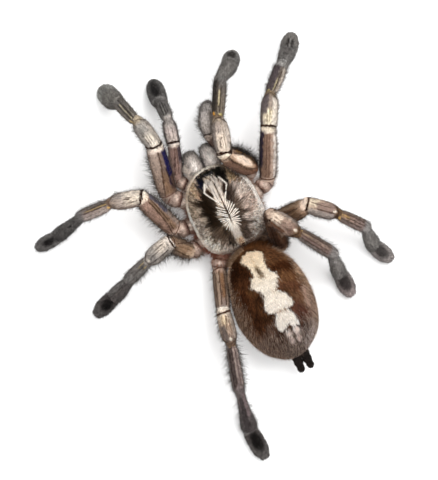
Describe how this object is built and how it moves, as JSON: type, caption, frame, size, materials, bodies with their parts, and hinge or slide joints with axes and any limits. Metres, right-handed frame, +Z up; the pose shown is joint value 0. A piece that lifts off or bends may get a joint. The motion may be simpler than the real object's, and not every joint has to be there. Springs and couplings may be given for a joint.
{
  "type": "tarantula specimen",
  "caption": "Dried hairy tarantula set in a walking stance on its foot pads, with an oval abdomen, a domed carapace, folded legs and short palps.",
  "frame": {"origin": "on the surface under the feet, at the middle of the bounding box", "axes": "+Y toward the head along the body, +X toward its right side, +Z up"},
  "size_m": [0.0911, 0.1136, 0.0223],
  "materials": {
    "carapace": "dried shell under short felted hair, with a pale star and stripe",
    "abdomen": "deep velvet of short brown hair with a cream leaf marking",
    "chelicera": "short grey-mauve hair over a hard shell",
    "spinneret": "short black hair",
    "leg": "felted grey-brown hair with pale joints and dark velvet feet",
    "palp": "felted grey-brown hair with a dark velvet tip"
  },
  "bodies": {
    "root": {"carapace": "carapace", "abdomen": "abdomen", "chelicera_left": "chelicera", "chelicera_right": "chelicera", "spinneret_left": "spinneret", "spinneret_right": "spinneret", "leg_1_left": "leg", "leg_1_right": "leg", "leg_2_left": "leg", "leg_2_right": "leg", "leg_3_left": "leg", "leg_3_right": "leg", "leg_4_left": "leg", "leg_4_right": "leg", "palp_left": "palp", "palp_right": "palp"}
  },
  "joints": []
}
